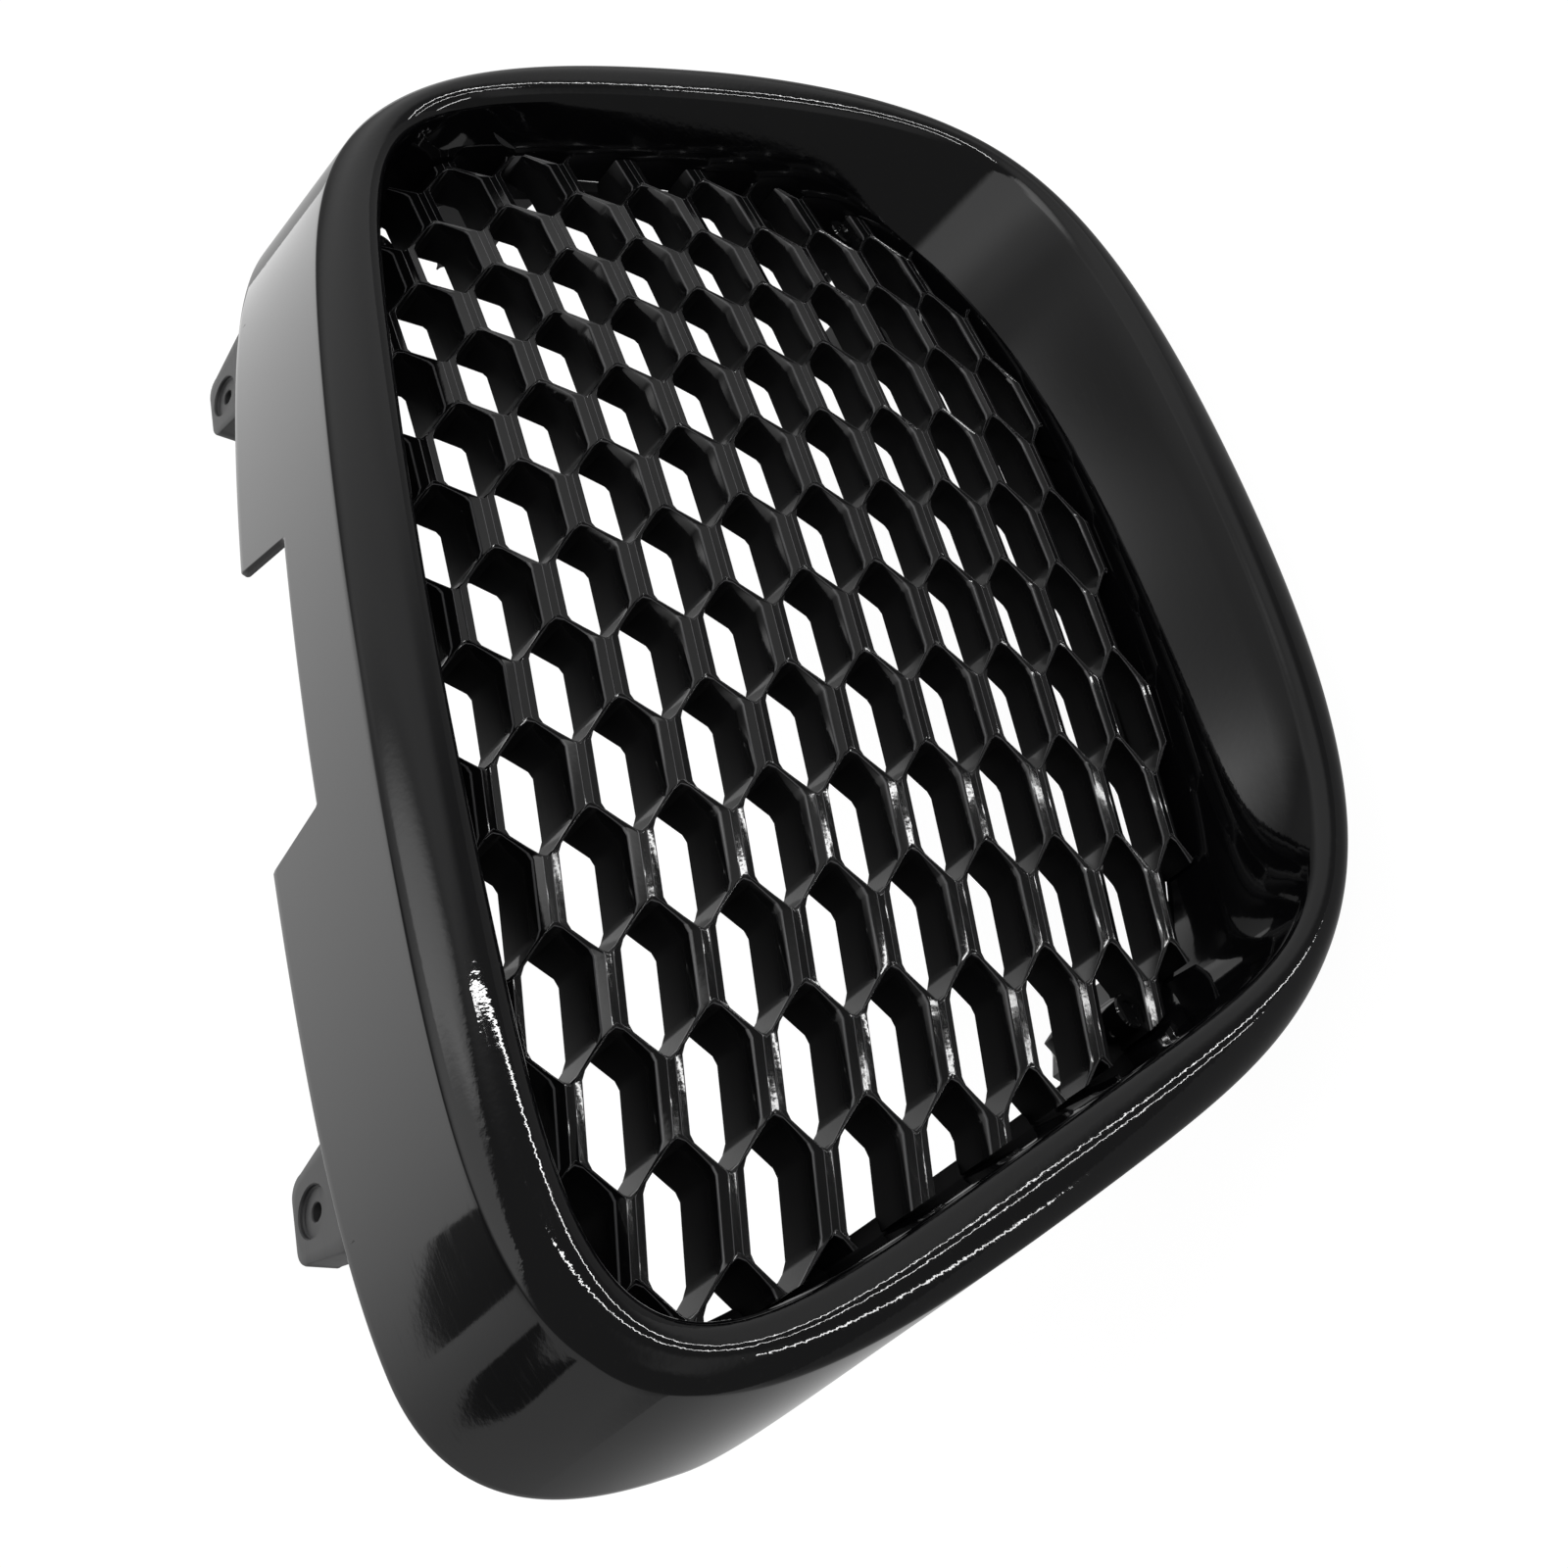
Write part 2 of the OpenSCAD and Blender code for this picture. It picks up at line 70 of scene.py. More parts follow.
# the edges' pulls (how far the heading reaches each edge) add as powers, and the sum gives the radius
def radius(edge, c, s, grow=0.0):
    e = outlines[edge]
    pull = 0
    for angle, key in ((-e["lean"], "side"), (180 + e["lean"], "side"), (-90, "bottom"),
                       (90 - e["fall"], "top"), (90 + e["fall"], "top")):
        a = math.radians(angle)
        pull = pull + (np.maximum(0, c * math.cos(a) + s * math.sin(a)) / (e[key] + grow)) ** e["tight"]
    return pull ** (-1 / e["tight"])


def place(edge, t, grow=0.0):
    c, s = 2 * np.cos(np.radians(t)), np.sin(np.radians(t))
    n = np.hypot(c, s)
    r = radius(edge, c / n, s / n, grow)
    return r * c / n, r * s / n - centreDrop


# height of a bowed and raked face: parabola across, parabola and slope upwards
def bowed(face, x, z):
    planR, sideR, rake, lead = bows[face]
    return x * x / (2 * planR) + z * z / (2 * sideR) + z * math.tan(math.radians(rake)) - lead


def mix(a, b, f):
    return a + (b - a) * f


def eased(f):
    c = np.clip(f, 0, 1)
    return c * c * (3 - 2 * c)


def seatY(t):
    return bowed("mesh", *place("lip", t, -wallTaper)) + meshDepth / 2 - frameDepth / 2 - seatGap


# faces of a grid of rows and columns, each direction closed or open
def gridFaces(rows, cols, closeRows=True, closeCols=True):
    r = np.arange(rows if closeRows else rows - 1)[:, None]
    c = np.arange(cols if closeCols else cols - 1)[None, :]
    r2, c2 = (r + 1) % rows, (c + 1) % cols
    return np.stack([r * cols + c, r * cols + c2, r2 * cols + c2, r2 * cols + c], -1).reshape(-1, 4)


# closed block with softened edges: rounded loops stacked from a middle point to a middle point
def softBlock(low, high, soft):
    low, high = np.array(low, float), np.array(high, float)
    mid, half = (low + high) / 2, (high - low) / 2
    a = np.radians(np.arange(0, 360, 15.0))
    rings = []
    first, last = low[1], high[1]
    for y, inset in ((first, None), (first, soft), (first + 0.3 * soft, 0.3 * soft), (first + soft, 0),
                     (last - soft, 0), (last - 0.3 * soft, 0.3 * soft), (last, soft), (last, None)):
        core = half - soft
        edge = 0 if inset is None else soft - inset
        x = np.sign(np.cos(a).round(6)) * core[0] + edge * np.cos(a)
        z = np.sign(np.sin(a).round(6)) * core[2] + edge * np.sin(a)
        if inset is None:
            x, z = x * 0, z * 0
        rings.append(np.stack([mid[0] + x, np.full(len(a), y), mid[2] + z], -1))
    return np.stack(rings)


# puts points (mm from the mesh's middle) and quads into an object that stands for a CAD node
def addPiece(name, points, faces, material, node, slotName, sharpAngle=38, **paint):
    verts = (np.asarray(points, float).reshape(-1, 3) - rowOrigin) * mm
    p = verts[faces]
    turn = (np.cross(p[:, 1] - p[:, 0], p[:, 2] - p[:, 0]) * p[:, 0]).sum() + (
        np.cross(p[:, 2] - p[:, 0], p[:, 3] - p[:, 0]) * p[:, 0]).sum()
    if turn < 0:
        faces = faces[:, ::-1]
    mesh = bpy.data.meshes.new(name)
    mesh.from_pydata(verts.tolist(), [], faces.tolist())
    mesh.materials.append(material)
    for key, values in paint.items():
        spread = mesh.attributes.new(key, "FLOAT", "POINT")
        spread.data.foreach_set("value", np.ravel(values).astype(np.float32))
    mesh.shade_smooth()
    mesh.set_sharp_from_angle(angle=math.radians(sharpAngle))
    piece = bpy.data.objects.new(name, mesh)
    bpy.context.collection.objects.link(piece)
    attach(piece, "root")
    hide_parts(node)
    return piece


# wraps a socket, so that shader maths reads like plain sums
class Value:
    def __init__(self, tree, socket):
        self.tree, self.socket = tree, socket

    def make(self, kind, settings=None, output=0, **inputs):
        node = self.tree.nodes.new(kind)
        for key, value in (settings or {}).items():
            setattr(node, key, value)
        for key, value in inputs.items():
            byNumber = key[0] == "i" and key[1:].isdigit()
            target = node.inputs[int(key[1:]) if byNumber else key.replace("_", " ")]
            if isinstance(value, Value):
                self.tree.links.new(value.socket, target)
            else:
                target.default_value = value
        return Value(self.tree, node.outputs[output])

    def sums(self, operation, a, b):
        return self.make("ShaderNodeMath", {"operation": operation}, i0=a, i1=b)

    def __add__(self, other):
        return self.sums("ADD", self, other)

    __radd__ = __add__

    def __sub__(self, other):
        return self.sums("SUBTRACT", self, other)

    def __rsub__(self, other):
        return self.sums("SUBTRACT", other, self)

    def __mul__(self, other):
        return self.sums("MULTIPLY", self, other)

    __rmul__ = __mul__

    def ramp(self, low, high, toLow=0.0, toHigh=1.0):
        return self.make("ShaderNodeMapRange", {"interpolation_type": "SMOOTHSTEP"},
                         i0=self, i1=low, i2=high, i3=toLow, i4=toHigh)

    def noise(self, scale, detail):
        return self.make("ShaderNodeTexNoise", i2=scale, i3=detail, Vector=self)

    def blend(self, first, second):
        return self.make("ShaderNodeMix", {"data_type": "RGBA"}, output=2,
                         i0=self, i6=(*first, 1), i7=(*second, 1))


def newMaterial(name):
    material = bpy.data.materials.new(name)
    material.use_nodes = True
    tree = material.node_tree
    tree.nodes.clear()
    where = Value(tree, tree.nodes.new("ShaderNodeTexCoord").outputs["Object"])
    return material, where


def useSurface(material, shader):
    out = material.node_tree.nodes.new("ShaderNodeOutputMaterial")
    material.node_tree.links.new(shader.socket, out.inputs["Surface"])


# gloss black lacquer: orange peel, a little haze and dust, hairline scratches, and a painted highlight on
# edges
lacquer = {"peelScale": 560.0, "peelHeight": 0.001, "cloudScale": 14.0, "dustScale": 900.0, "dust": 0.02,
           "dustAndHighlightTint": (0.16, 0.16, 0.165), "hairScale": 60.0, "hairStretch": (1.0, 24.0, 3.0), "hair": 0.03,
           "paintedHighlight": 0.45, "bareRough": 0.45, "barePale": 1.3}
finishes = {
    "surround_black": {"tint": (0.002, 0.002, 0.0023), "rough": (0.02, 0.06), "peel": 0.05,
                       "bareTint": (0.022, 0.022, 0.023), "bareShine": 0.5},
    "mesh_black": {"tint": (0.002, 0.002, 0.0022), "rough": (0.06, 0.1), "peel": 0.015,
                   "bareTint": (0.002, 0.002, 0.0022), "bareShine": 0.06},
}


# painted where the lacquer attribute is high and bare plastic where it is low; the peel attribute sets how
# uneven the paint is, and the edge attribute marks where a painted highlight lightens the colour
def glossBlack(name, tint, rough, peel, bareTint, bareShine):
    material, where = newMaterial(name)

    def painted(key):
        return where.make("ShaderNodeAttribute", {"attribute_name": key}, output=2)

    # the edge attribute moves the colour towards pale grey: a painted highlight standing in for light caught
    # on rounded edges
    paintedHighlight = painted("edge").ramp(0.35, 0.9)
    uneven = where.noise(lacquer["peelScale"], 2.0)
    cloud = where.noise(lacquer["cloudScale"], 4.0)
    speck = where.noise(lacquer["dustScale"], 2.0).ramp(0.66, 0.78)
    stretched = where.make("ShaderNodeMapping", Vector=where, Scale=lacquer["hairStretch"])
    hair = stretched.noise(lacquer["hairScale"], 1.0).ramp(0.62, 0.66)
    colour = (speck * lacquer["dust"] + paintedHighlight * lacquer["paintedHighlight"]).blend(tint, lacquer["dustAndHighlightTint"])
    roughness = cloud.ramp(0.35, 0.7, *rough) + hair * lacquer["hair"]
    bump = where.make("ShaderNodeBump", i0=peel, i1=lacquer["peelHeight"], Height=uneven * painted("peel"))
    gloss = where.make("ShaderNodeBsdfPrincipled", Base_Color=colour, Roughness=roughness, IOR=1.5,
                       Normal=bump)
    pale = [lacquer["barePale"] * c for c in bareTint]
    bare = where.make("ShaderNodeBsdfPrincipled", Base_Color=cloud.ramp(0.3, 0.7).blend(bareTint, pale),
                      Roughness=roughness + lacquer["bareRough"], Specular_IOR_Level=bareShine)
    share = painted("lacquer").ramp(0.3, 0.7)
    useSurface(material, where.make("ShaderNodeMixShader", i0=share, i1=bare, i2=gloss))
    return material


surroundBlack, meshBlack = (glossBlack(name, **finish) for name, finish in finishes.items())

print("surround")
surround = {
    "topLift": 4.7, "cornerLift": 6.9, "bottomDrop": 9.7, "halfWidth": 167.2,
    "swell": 3.38, "roll": 3.0, "lipRound": 3.5,
    "skirtY": 92.4, "flapY": 62.6, "flare": 2.1, "flapZ": -12.0, "flapR": 24.0,
    "shoulder": (19.0, 44.0), "recess": (42.0, 4.8, 21.8), "edgeRound": 0.7, "step": 0.5,
    "paintedRows": 47, "peelSides": (0.14, 0.86),
}


# the crease stands forward of the rim's face along the top, more so at the corners, and behind it below
def creaseY(t):
    x, z = place("crease", t)
    up = np.sin(np.radians(t))
    lift = surround["topLift"] + surround["cornerLift"] * (x / surround["halfWidth"]) ** 2
    above, below = np.maximum(0, up) ** 2, np.maximum(0, -up) ** 2
    return bowed("rim", x, z) - lift * above + surround["bottomDrop"] * below


# sweep angle at which the outer outline passes the right flap's lower end
def flapAngle():
    t = np.linspace(-60, 60, 4001)
    return float(np.interp(surround["flapZ"], place("crease", t)[1], t))


# sweep angle at a distance from the middle of the top
def topAngle(x):
    t = np.linspace(90, 40, 4001)
    return np.interp(x, place("crease", t)[0], t)


flapT = flapAngle()


# back edge of the skirt: deep on top with a recess, less deep on the rounded flaps, at the mesh below
def skirtEnd(t):
    x, z = place("crease", t)
    up = np.sin(np.radians(t))
    low, high = np.sin(np.radians(surround["shoulder"]))
    y = mix(surround["flapY"], surround["skirtY"], eased((up - low) / (high - low)))
    r = surround["flapR"]
    under = np.clip(surround["flapZ"] + r - z, 0, r)
    y = np.minimum(y, np.where(under > 0, surround["flapY"] - r + np.sqrt(r * r - under * under), 1e3))
    half, spread, depth = surround["recess"]
    y = y - np.where(up > 0.9, depth * (1 - np.clip((np.abs(x) - half) / spread, 0, 1)), 0)
    return np.where(up > math.sin(math.radians(flapT)), y, seatY(t))


def stationAngles():
    t = np.arange(-90, 90, surround["step"])
    half, spread, _ = surround["recess"]
    notch = topAngle(np.linspace(half - 1.5, half + spread + 1.5, 15))
    flap = np.concatenate([flapT + np.linspace(-0.3, -0.01, 3), flapT + np.linspace(0.01, 0.3, 3),
                           flapT + np.linspace(0.4, 8, 20)])
    for group in (notch, flap):
        t = t[(t < group.min() - 0.05) | (t > group.max() + 0.05)]
    t = np.unique(np.concatenate([t, notch, flap]))
    return np.concatenate([t, 180 - t[::-1]])[:-1]


# one closed section swept round the outline: inner wall, rounded lip, swelling rim, skirt, and back inside
def surroundRows(t):
    lipX, lipZ = place("lip", t)
    lipY = bowed("rim", lipX, lipZ)
    lip = np.stack([lipX, lipY, lipZ], -1)
    seatX, seatZ = place("lip", t, -wallTaper)
    seat = np.stack([seatX, seatY(t), seatZ], -1)
    crX, crZ = place("crease", t)
    crY = creaseY(t)
    crease = np.stack([crX, crY, crZ], -1)
    rows = [mix(seat, lip, w) for w in (0, 0.02, 0.1, 0.25, 0.4, 0.55, 0.68, 0.78)]

    def rim(f):
        bulge = surround["roll"] * (1 - math.sqrt(1 - f ** 6)) - surround["swell"] * math.sin(math.pi * f)
        return mix(lip, crease, f) + np.array([0, bulge, 0])

    length = np.linalg.norm(lip - seat, axis=-1, keepdims=True)
    start = mix(lip, seat, np.minimum(surround["lipRound"] / length, 0.2))
    end = rim(0.2)
    rows += [start * (1 - b) ** 2 + lip * 2 * b * (1 - b) + end * b * b for b in np.linspace(0, 1, 9)]
    rows += [rim(f) for f in (0.25, 0.31, 0.38, 0.45, 0.52, 0.59, 0.66, 0.73, 0.79, 0.85)]
    rows += [rim(f) for f in (0.9, 0.935, 0.96, 0.98, 0.992, 0.998, 1)]
    endY = skirtEnd(t)
    slope = math.tan(math.radians(surround["flare"]))
    startY = crY + surround["roll"]

    def skirt(y, inside):
        x, z = place("crease", t, np.maximum(0, y - startY) * slope - inside)
        return np.stack([x, y, z], -1)

    r = surround["edgeRound"]
    rows += [skirt(mix(startY, endY - r, g), 0)
             for g in (0.03, 0.1, 0.22, 0.36, 0.5, 0.64, 0.78, 0.9, 0.97, 1)]
    rows += [skirt(endY - r * (1 - math.sin(a)), r * (1 - math.cos(a))) for a in np.radians((30, 60, 90))]
    rows += [skirt(endY - r * (1 - math.cos(a)), wallThick - r * (1 - math.sin(a)))
             for a in np.radians((0, 30, 60, 90))]
    rows += [skirt(mix(endY - r, startY + wallThick, g), wallThick) for g in (0.25, 0.5, 0.75, 1)]
    inX, inZ = place("lip", t, wallThick)
    under = np.stack([inX, lipY + surround["roll"] + wallThick, inZ], -1)
    backX, backZ = place("lip", t, wallThick - wallTaper)
    back = np.stack([backX, seatY(t), backZ], -1)
    rows += [mix(under, back, w) for w in (0, 0.5, 0.97, 1)]
    return np.stack(rows)


angles = stationAngles()
rows = surroundRows(angles)
# peel by rows: little on the wall, rising over the lip, full on the rim and little again on the skirt
peelRows = ((8, 0.15, 0.15), (9, 0.15, 1.0), (10, 1.0, 1.0), (7, 1.0, 0.12), (len(rows) - 34, 0.12, 0.12))
peel = np.concatenate([np.linspace(a, b, n) for n, a, b in peelRows])
least, more = surround["peelSides"]
addPiece("surround_shell", rows, gridFaces(*rows.shape[:2]), surroundBlack, "surround", "surround_black",
         lacquer=np.repeat(np.arange(len(rows)) < surround["paintedRows"], rows.shape[1]),
         peel=peel[:, None] * (least + more * np.cos(np.radians(angles)) ** 2))

print("ears")
ear = {"x": 128.8, "y": 103.9, "top": 66.3735, "thick": 8.0, "hole": 2.1, "seat": 6.0, "seatDepth": 1.2,
       "rootW": 15.0, "endW": 11.0, "rootY": 87.4, "edgeY": 92.4, "endY": 112.39, "corner": 5.0, "soft": 0.6,
       "rise": 1.575}


# outline of a tongue with round end corners, as points at even angles about the hole
def earOutline(count, inset):
    c, e = ear["corner"], ear
    a = np.radians(np.linspace(0, 90, 12))
    root, edge, end = (e[key] - e["y"] for key in ("rootY", "edgeY", "endY"))
    side = e["rootW"] - inset
    bend = np.stack([e["endW"] - c + (c - inset) * np.cos(a), end - c + (c - inset) * np.sin(a)], -1)
    foot = [[0, root + inset], [side, root + inset], [side, edge]]
    half = np.concatenate([foot, bend, [[0, end - inset]]])
    loop = np.concatenate([half, half[-2:0:-1] * [-1, 1], half[:1]])
    fine = np.concatenate([np.linspace(p, q, 24, endpoint=False) for p, q in zip(loop[:-1], loop[1:])])
    angle = np.unwrap(np.arctan2(fine[:, 1], fine[:, 0]))
    want = angle[0] + np.arange(count) / count * 2 * math.pi
    reach = np.interp(want, angle, np.hypot(fine[:, 0], fine[:, 1]))
    return np.stack([reach * np.cos(want), reach * np.sin(want)], -1), want


# rings from the hole's lower end over its floor, seat, top and side to the underside
def addEar(name, side):
    count = 120
    top, soft = ear["top"], ear["soft"]
    outer, want = earOutline(count, 0.0)
    inner, _ = earOutline(count, soft)
    circle = np.stack([np.cos(want), np.sin(want)], -1)
    floor = top - ear["seatDepth"]
    rings = [(circle * ear["hole"], top - ear["thick"]), (circle * ear["hole"], floor - 0.25),
             (circle * (ear["hole"] + 0.25), floor), (circle * (ear["seat"] - 0.5), floor),
             (circle * (ear["seat"] - 0.1), floor + 0.3), (circle * ear["seat"], top - 0.3),
             (circle * (ear["seat"] + 0.3), top), (mix(circle * ear["seat"], inner, 0.6), top),
             (inner, top), (mix(inner, outer, 0.7), top - soft * 0.3), (outer, top - soft),
             (outer, top - ear["thick"])]
    hole = [side * ear["x"], ear["y"]]
    points = np.stack([np.concatenate([xy * [side, 1] + hole, np.full((count, 1), z)], -1)
                       for xy, z in rings])
    addPiece(name, points, gridFaces(*points.shape[:2]), surroundBlack, "surround", "surround_black", 30)
    low, high = sorted((side * ear["x"], side * (ear["x"] - ear["rootW"])))
    block = softBlock((low, ear["rootY"], top - ear["thick"]), (high, ear["edgeY"], top + ear["rise"]), 0.3)
    addPiece(name + "_root", block, gridFaces(*block.shape[:2], closeRows=False), surroundBlack, "surround",
             "surround_black", 30)


addEar("ear_right", 1)
addEar("ear_left", -1)

print("lugs and tabs")
rear = {"screws": (-34, 42, 70, 110, 138, 214), "sideTabs": (18.5, 161.5), "cornerTabs": (-46, 226),
        "lap": 0.75, "bossIn": 6.5, "bossD": 9.0, "lugW": 13.0, "lugT": 3.0, "lugGap": 1.5,
        "tabW": 20.0, "tabL": 40.0, "tabT": 3.0, "window": (2.25, 11.0), "notch": (3.0, 3.3), "soft": 0.5}


# place on the wall's edge, with the way outwards and the way along the edge
def onEdge(t):
    e = -wallTaper
    x, z = place("lip", t, e)
    x2, z2 = place("lip", t + 0.5, e)
    x1, z1 = place("lip", t - 0.5, e)
    along = np.array([x2 - x1, 0, z2 - z1]) / math.hypot(x2 - x1, z2 - z1)
    return np.array([x, 0, z]), np.array([along[2], 0, -along[0]]), along


# moves points given as outwards, backwards and along to their place on the edge
def toEdge(t, points):
    at, out, along = onEdge(t)
    return at + points[..., :1] * out + points[..., 1:2] * np.array([0, 1, 0]) + points[..., 2:] * along


def lugY(t):
    at, out, along = onEdge(t)
    deep = rear["bossIn"] + rear["lugW"] / 2
    corners = [at - d * out + s * rear["lugW"] / 2 * along for d in (0, deep) for s in (-1, 1)]
    return max(bowed("mesh", c[0], c[2]) for c in corners) + meshDepth / 2 + frameDepth / 2 + rear["lugGap"]


def addBlock(name, t, low, high):
    rings = toEdge(t, softBlock(low, high, rear["soft"]))
    addPiece(name, rings, gridFaces(*rings.shape[:2], closeRows=False), surroundBlack, "surround",
             "surround_black", 30)


for n, t in enumerate(rear["screws"]):
    w, y, deep = rear["lugW"] / 2, lugY(t), rear["bossIn"] + rear["lugW"] / 2
    addBlock(f"lug_{n}", t, (-deep, y, -w), (wallThick, y + rear["lugT"], w))
    addBlock(f"lug_web_{n}", t, (rear["lap"], seatY(t) - 2 * w, -w), (wallThick, y + rear["lugT"], w))
for n, t in enumerate(rear["cornerTabs"]):
    w, y, lap = rear["tabW"] / 2, seatY(t), rear["lap"]
    addBlock(f"corner_tab_{n}", t, (lap, y - w, -w), (lap + rear["tabT"], y + rear["tabL"], w))


# half a side tab as rows along it: its inner edge runs round the window, its end is cut by a round notch
def tabSheet():
    r, fromEnd = rear["window"]
    cutR, cutAt = rear["notch"]
    w, length = rear["tabW"] / 2, rear["tabL"]
    mid = length - fromEnd
    rise = r * np.sin(np.radians(np.linspace(-90, 90, 17)))
    v = np.concatenate([np.linspace(-w, mid - r - 0.5, 6), mid + rise, [length - cutR - 1.2]])
    inner = np.sqrt(np.maximum(0, r * r - (v - mid) ** 2))
    f = np.linspace(0, 1, 41)
    u = inner[:, None] + (w - inner[:, None]) * f[None, :]
    vv = np.broadcast_to(v[:, None], u.shape)
    endV = length - np.sqrt(np.maximum(0, cutR ** 2 - (w * f - cutAt) ** 2))
    g = np.linspace(0, 1, 4)[1:, None]
    u = np.concatenate([u, np.broadcast_to(w * f, (3, 41))])
    vv = np.concatenate([vv, mix(v[-1], endV[None, :], g)])
    return np.stack([u, vv], -1)


# front and back sheets joined round their edges, once for each half
def addTab(name, t):
    sheet = tabSheet()
    rows, cols = sheet.shape[:2]
    for k, side in enumerate((1, -1)):
        rings = []
        for x in (rear["lap"], rear["lap"] + rear["tabT"]):
            flat = np.full((rows, cols), x)
            rings.append(np.stack([flat, sheet[..., 1] + seatY(t), side * sheet[..., 0]], -1))
        front, back = rings
        loop = np.concatenate([front, back[:, ::-1]], 1)
        points = toEdge(t, loop)
        faces = gridFaces(rows, 2 * cols, closeRows=False)
        c = np.arange(cols - 1)
        caps = [np.stack([b + c, b + c + 1, b + 2 * cols - 2 - c, b + 2 * cols - 1 - c], -1)
                for b in (0, (rows - 1) * 2 * cols)]
        faces = np.concatenate([faces, caps[0][:, ::-1], caps[1]])
        addPiece(f"{name}_{k}", points, faces, surroundBlack, "surround", "surround_black", 30)


for n, t in enumerate(rear["sideTabs"]):
    addTab(f"side_tab_{n}", t)

print("insert")
insert = {"pitch": 15.5, "column": 27.1, "barLength": 15.5, "bar": 4.6, "crown": 1.2,
          "web": 1.4, "arch": 1.6, "round": 1.3, "lead": (0.0125, 60.0), "depth": (11.9, 0.0407, 0.000233),
          "sillCoat": 0.46, "weld": 2e-6, "sharp": 15, "lap": 0.5, "frameW": 3.0, "frameLead": 0.5,
          "frameSoft": 0.3}


# distance from the middle as a share of the insert's outline, and the distance itself
def outlineShare(x, z):
    n = np.maximum(np.hypot(x, z + centreDrop), 1e-6)
    return n / radius("lip", x / n, (z + centreDrop) / n, -wallTaper - insertGap), n


# cells in columns, every other column raised by half a pitch, as far as the outline needs them
def cellCentres():
    i, k = np.meshgrid(np.arange(-8, 9), np.arange(-24, 25), indexing="ij")
    odd = (i + k) % 2 == 1
    x, z = i[odd] * insert["column"], k[odd] * insert["pitch"] / 2
    share, n = outlineShare(x, z)
    near = n < n / share + insert["column"] * 0.72
    return np.stack([x[near], z[near]], -1)


# eight corners of a cell, drawn in by half of each wall; both ends are flat arches
def cellLoop(bar, web):
    run, half = insert["column"] - insert["barLength"], insert["pitch"] / 2
    cut = web * math.hypot(run, half) / insert["pitch"]
    flat = insert["arch"] * web / insert["web"] / 2
    tip = insert["column"] - insert["barLength"] / 2 - cut
    end, high = insert["barLength"] / 2 - cut + bar * run / insert["pitch"], half - bar / 2
    return np.array([[end, high], [tip, flat], [tip, -flat], [end, -high],
                     [-end, -high], [-tip, -flat], [-tip, flat], [-end, high]])


# each corner of a loop cut off by two points, by less where the walls are thinner
def softLoop(corners, share):
    def toward(other):
        way = other - corners
        length = np.maximum(np.linalg.norm(way, axis=1, keepdims=True), 1e-6)
        return corners + way * np.minimum(0.4, insert["round"] * share / length)
    return np.stack([toward(np.roll(corners, 1, 0)), toward(np.roll(corners, -1, 0))], 1).reshape(-1, 2)


# points outside the outline slide along their ring to where it crosses the outline, or else straight in
def clipRing(ring):
    share, _ = outlineShare(ring[..., 0], ring[..., 1])
    done = share <= 1
    centre = np.array([0, -centreDrop])
    spot = np.where(done[..., None], ring, centre + (ring - centre) / share[..., None])
    lone = ~done & np.roll(done, 1, 1) & np.roll(done, -1, 1)
    done = done | lone
    for way in (1, -1):
        other, otherShare = np.roll(ring, way, 1), np.roll(share, way, 1)
        hit = ~done & (otherShare <= 1)
        f = (1 - otherShare) / np.where(hit, share - otherShare, 1)
        guess = other + (ring - other) * f[..., None]
        reached = outlineShare(guess[..., 0], guess[..., 1])[0]
        f = f * (1 - otherShare) / np.where(hit, reached - otherShare, 1)
        spot = np.where(hit[..., None], other + (ring - other) * f[..., None], spot)
        done = done | hit
    for way in (1, -1) * (ring.shape[1] // 2):
        take = ~done & np.roll(done, way, 1)
        spot = np.where(take[..., None], np.roll(spot, way, 1), spot)
        done = done | take
    return spot, share > 1


# faces of the mesh, which is thicker towards its top
def meshFront(x, z):
    rate, start = insert["lead"]
    return bowed("mesh", x, z) - meshDepth / 2 - rate * np.maximum(0, z + start)


def meshBack(x, z):
    level, rate, bend = insert["depth"]
    return bowed("mesh", x, z) - meshDepth / 2 + level + rate * z + bend * z * z


# rings of a cell: share of the bar and of the web, face, set-back in crowns and in mm, lacquer, edge (a
# painted highlight); they run from the front's middle lines over a fine bead and the crown, and down the
# wall to the back
ringPlan = [
    (0, 0, meshFront, 0, 0, 1, 0),
    (0.22, 0.1, meshFront, 0, 0, 1, 0),
    (0.29, 0.2, meshFront, 0, -0.08, 1, 1),
    (0.36, 0.3, meshFront, 0.03, 0, 1, 0),
    (0.8, 0.7, meshFront, 0.25, 0, 1, 0),
    (0.93, 0.88, meshFront, 0.5, 0, 1, 1),
    (1, 1, meshFront, 1, 0, 0.6, 0),
    (1, 1, meshBack, 0, -0.3, 0, 0),
    (0.9, 0.8, meshBack, 0, 0, 0, 0),
    (0, 0, meshBack, 0, 0, 0, 0),
]
wallRings, sillPoints = slice(6, 8), slice(9, 11)  # the slanting wall that faces up


def insertRings():
    centres = cellCentres()
    atBar = [1, 0, 0, 1, 1, 0, 0, 1]
    crown = np.repeat(np.where(atBar, insert["crown"], insert["web"] / 2), 2)
    rings = []
    for bar, web, face, crowns, back, _, _ in ringPlan:
        loop = softLoop(cellLoop(bar * insert["bar"], web * insert["web"]), web)
        spot, outside = clipRing(centres[:, None] + loop[None])
        x, z = spot[..., 0], spot[..., 1]
        rings.append(np.stack([x, face(x, z) + crowns * crown + back, z, outside], -1))
    return np.stack(rings, 1)


